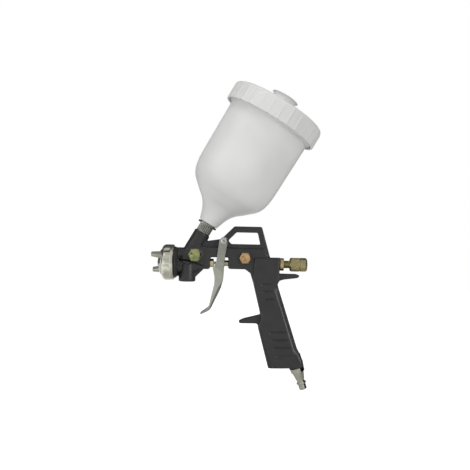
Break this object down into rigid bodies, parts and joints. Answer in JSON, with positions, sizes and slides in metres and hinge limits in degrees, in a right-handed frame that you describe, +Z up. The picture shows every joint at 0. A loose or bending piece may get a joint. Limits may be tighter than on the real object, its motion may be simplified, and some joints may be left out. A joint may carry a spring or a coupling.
{
  "type": "gravity-feed spray gun",
  "caption": "Hand-held gravity-feed paint spray gun: pistol-grip body with hanging loop, curved trigger, horned air cap, lidded plastic cup and air plug.",
  "frame": {"origin": "underside of the hanging loop's top bar, in the middle plane, where a hook carries the gun", "axes": "+X to the rear of the gun, along the needle; -X is the spray direction; +Z up; +Y to the gun's right-hand side, away from the hex plugs"},
  "size_m": [0.1735, 0.1038, 0.3207],
  "materials": {
    "casting": "satin dark charcoal coating",
    "nickel": "satin nickel plate",
    "chrome": "polished chrome plate",
    "zinc": "yellow zinc plate",
    "brass": "bright turned brass",
    "steel": "turned stainless steel",
    "spring": "drawn spring wire",
    "seal": "matt black",
    "ptfe": "white low-friction ring",
    "fibre": "red fibre washer",
    "cup": "translucent white moulding",
    "lid": "white moulding",
    "mesh": "fine nylon"
  },
  "bodies": {
    "gun": {"gun_body": "casting", "fluid_nozzle": "steel", "nozzle_gasket": "fibre", "front_passage_plug": "zinc", "front_plug_washer": "steel", "rear_passage_plug": "brass", "needle_packing": "ptfe", "packing_nut": "brass", "air_valve_bush": "brass", "air_valve_packing": "ptfe", "adjuster_housing": "brass", "adjuster_gasket": "fibre", "trigger_pin": "steel", "trigger_pin_clip": "spring", "trigger_washers": "ptfe", "air_plug": "nickel", "air_plug_seal": "seal", "cup_adapter": "steel", "cup_strainer": "mesh"},
    "trigger_lever": {"trigger": "chrome"},
    "air_valve": {"air_valve_stem": "brass", "air_valve_seal": "seal", "air_valve_spring": "spring"},
    "needle": {"fluid_needle": "steel", "needle_collar": "brass"},
    "knob_carrier": {"spring_seat": "steel", "needle_spring": "spring"},
    "knob": {"fluid_knob": "brass"},
    "ring_carrier": {"cap_seal": "ptfe"},
    "ring": {"retaining_ring": "nickel"},
    "cap": {"air_cap": "nickel"},
    "cup_carrier": {"cup_gasket": "ptfe"},
    "cup_part": {"cup": "cup"},
    "lid_carrier": {"lid_gasket": "ptfe"},
    "lid_part": {"lid": "lid"},
    "vent": {"vent_cap": "lid"}
  },
  "joints": [
    {"name": "trigger_pull", "type": "hinge", "parent": "gun", "child": "trigger_lever", "pos_m": [-0.0236, 0, -0.009], "axis": [0, -1, 0], "range_deg": [0, 15], "stiffness_Nm_per_rad": 1.6, "springref_deg": -11.46},
    {"name": "air_valve_slide", "type": "slide", "parent": "gun", "child": "air_valve", "axis": [1, 0, 0], "range_m": [0, 0.00561], "deforming": ["air_valve_spring"]},
    {"name": "needle_slide", "type": "slide", "parent": "gun", "child": "needle", "axis": [1, 0, 0], "range_m": [0, 0.00311]},
    {"name": "knob_travel", "type": "slide", "parent": "gun", "child": "knob_carrier", "axis": [1, 0, 0], "range_m": [-0.004, 0.003], "deforming": ["needle_spring"]},
    {"name": "knob_turn", "type": "hinge", "parent": "knob_carrier", "child": "knob", "pos_m": [0.054, 0, -0.0325], "axis": [1, 0, 0], "range_deg": [-1440.5, 1080.5]},
    {"name": "ring_travel", "type": "slide", "parent": "gun", "child": "ring_carrier", "axis": [-1, 0, 0], "range_m": [0, 0.0075]},
    {"name": "ring_turn", "type": "hinge", "parent": "ring_carrier", "child": "ring", "pos_m": [-0.082, 0, -0.0325], "axis": [-1, 0, 0], "range_deg": [0, 1800.5]},
    {"name": "air_cap_turn", "type": "hinge", "parent": "ring_carrier", "child": "cap", "pos_m": [-0.088, 0, -0.0325], "axis": [-1, 0, 0], "continuous": true},
    {"name": "cup_travel", "type": "slide", "parent": "gun", "child": "cup_carrier", "axis": [0.504, 0, 0.8637], "range_m": [0, 0.012]},
    {"name": "cup_turn", "type": "hinge", "parent": "cup_carrier", "child": "cup_part", "pos_m": [-0.0146, 0, 0.05387], "axis": [0.504, 0, 0.8637], "range_deg": [0, 2160.5]},
    {"name": "lid_travel", "type": "slide", "parent": "cup_part", "child": "lid_carrier", "axis": [0.504, 0, 0.8637], "range_m": [0, 0.018]},
    {"name": "lid_turn", "type": "hinge", "parent": "lid_carrier", "child": "lid_part", "pos_m": [0.02824, 0, 0.12729], "axis": [0.504, 0, 0.8637], "range_deg": [0, 1080.5]},
    {"name": "vent_cap_pull", "type": "slide", "parent": "lid_part", "child": "vent", "axis": [0.504, 0, 0.8637], "range_m": [0, 0.011]}
  ],
  "couplings": [
    {"joint": "air_valve_slide", "follows": "trigger_pull", "m_per_rad": 0.0214},
    {"joint": "needle_slide", "follows": "trigger_pull", "m_per_rad": 0.01184},
    {"joint": "knob_turn", "follows": "knob_travel", "rad_per_m": 6283.2},
    {"joint": "ring_turn", "follows": "ring_travel", "rad_per_m": 4188.8},
    {"joint": "cup_turn", "follows": "cup_travel", "rad_per_m": 3141.6},
    {"joint": "lid_turn", "follows": "lid_travel", "rad_per_m": 1047.2}
  ]
}
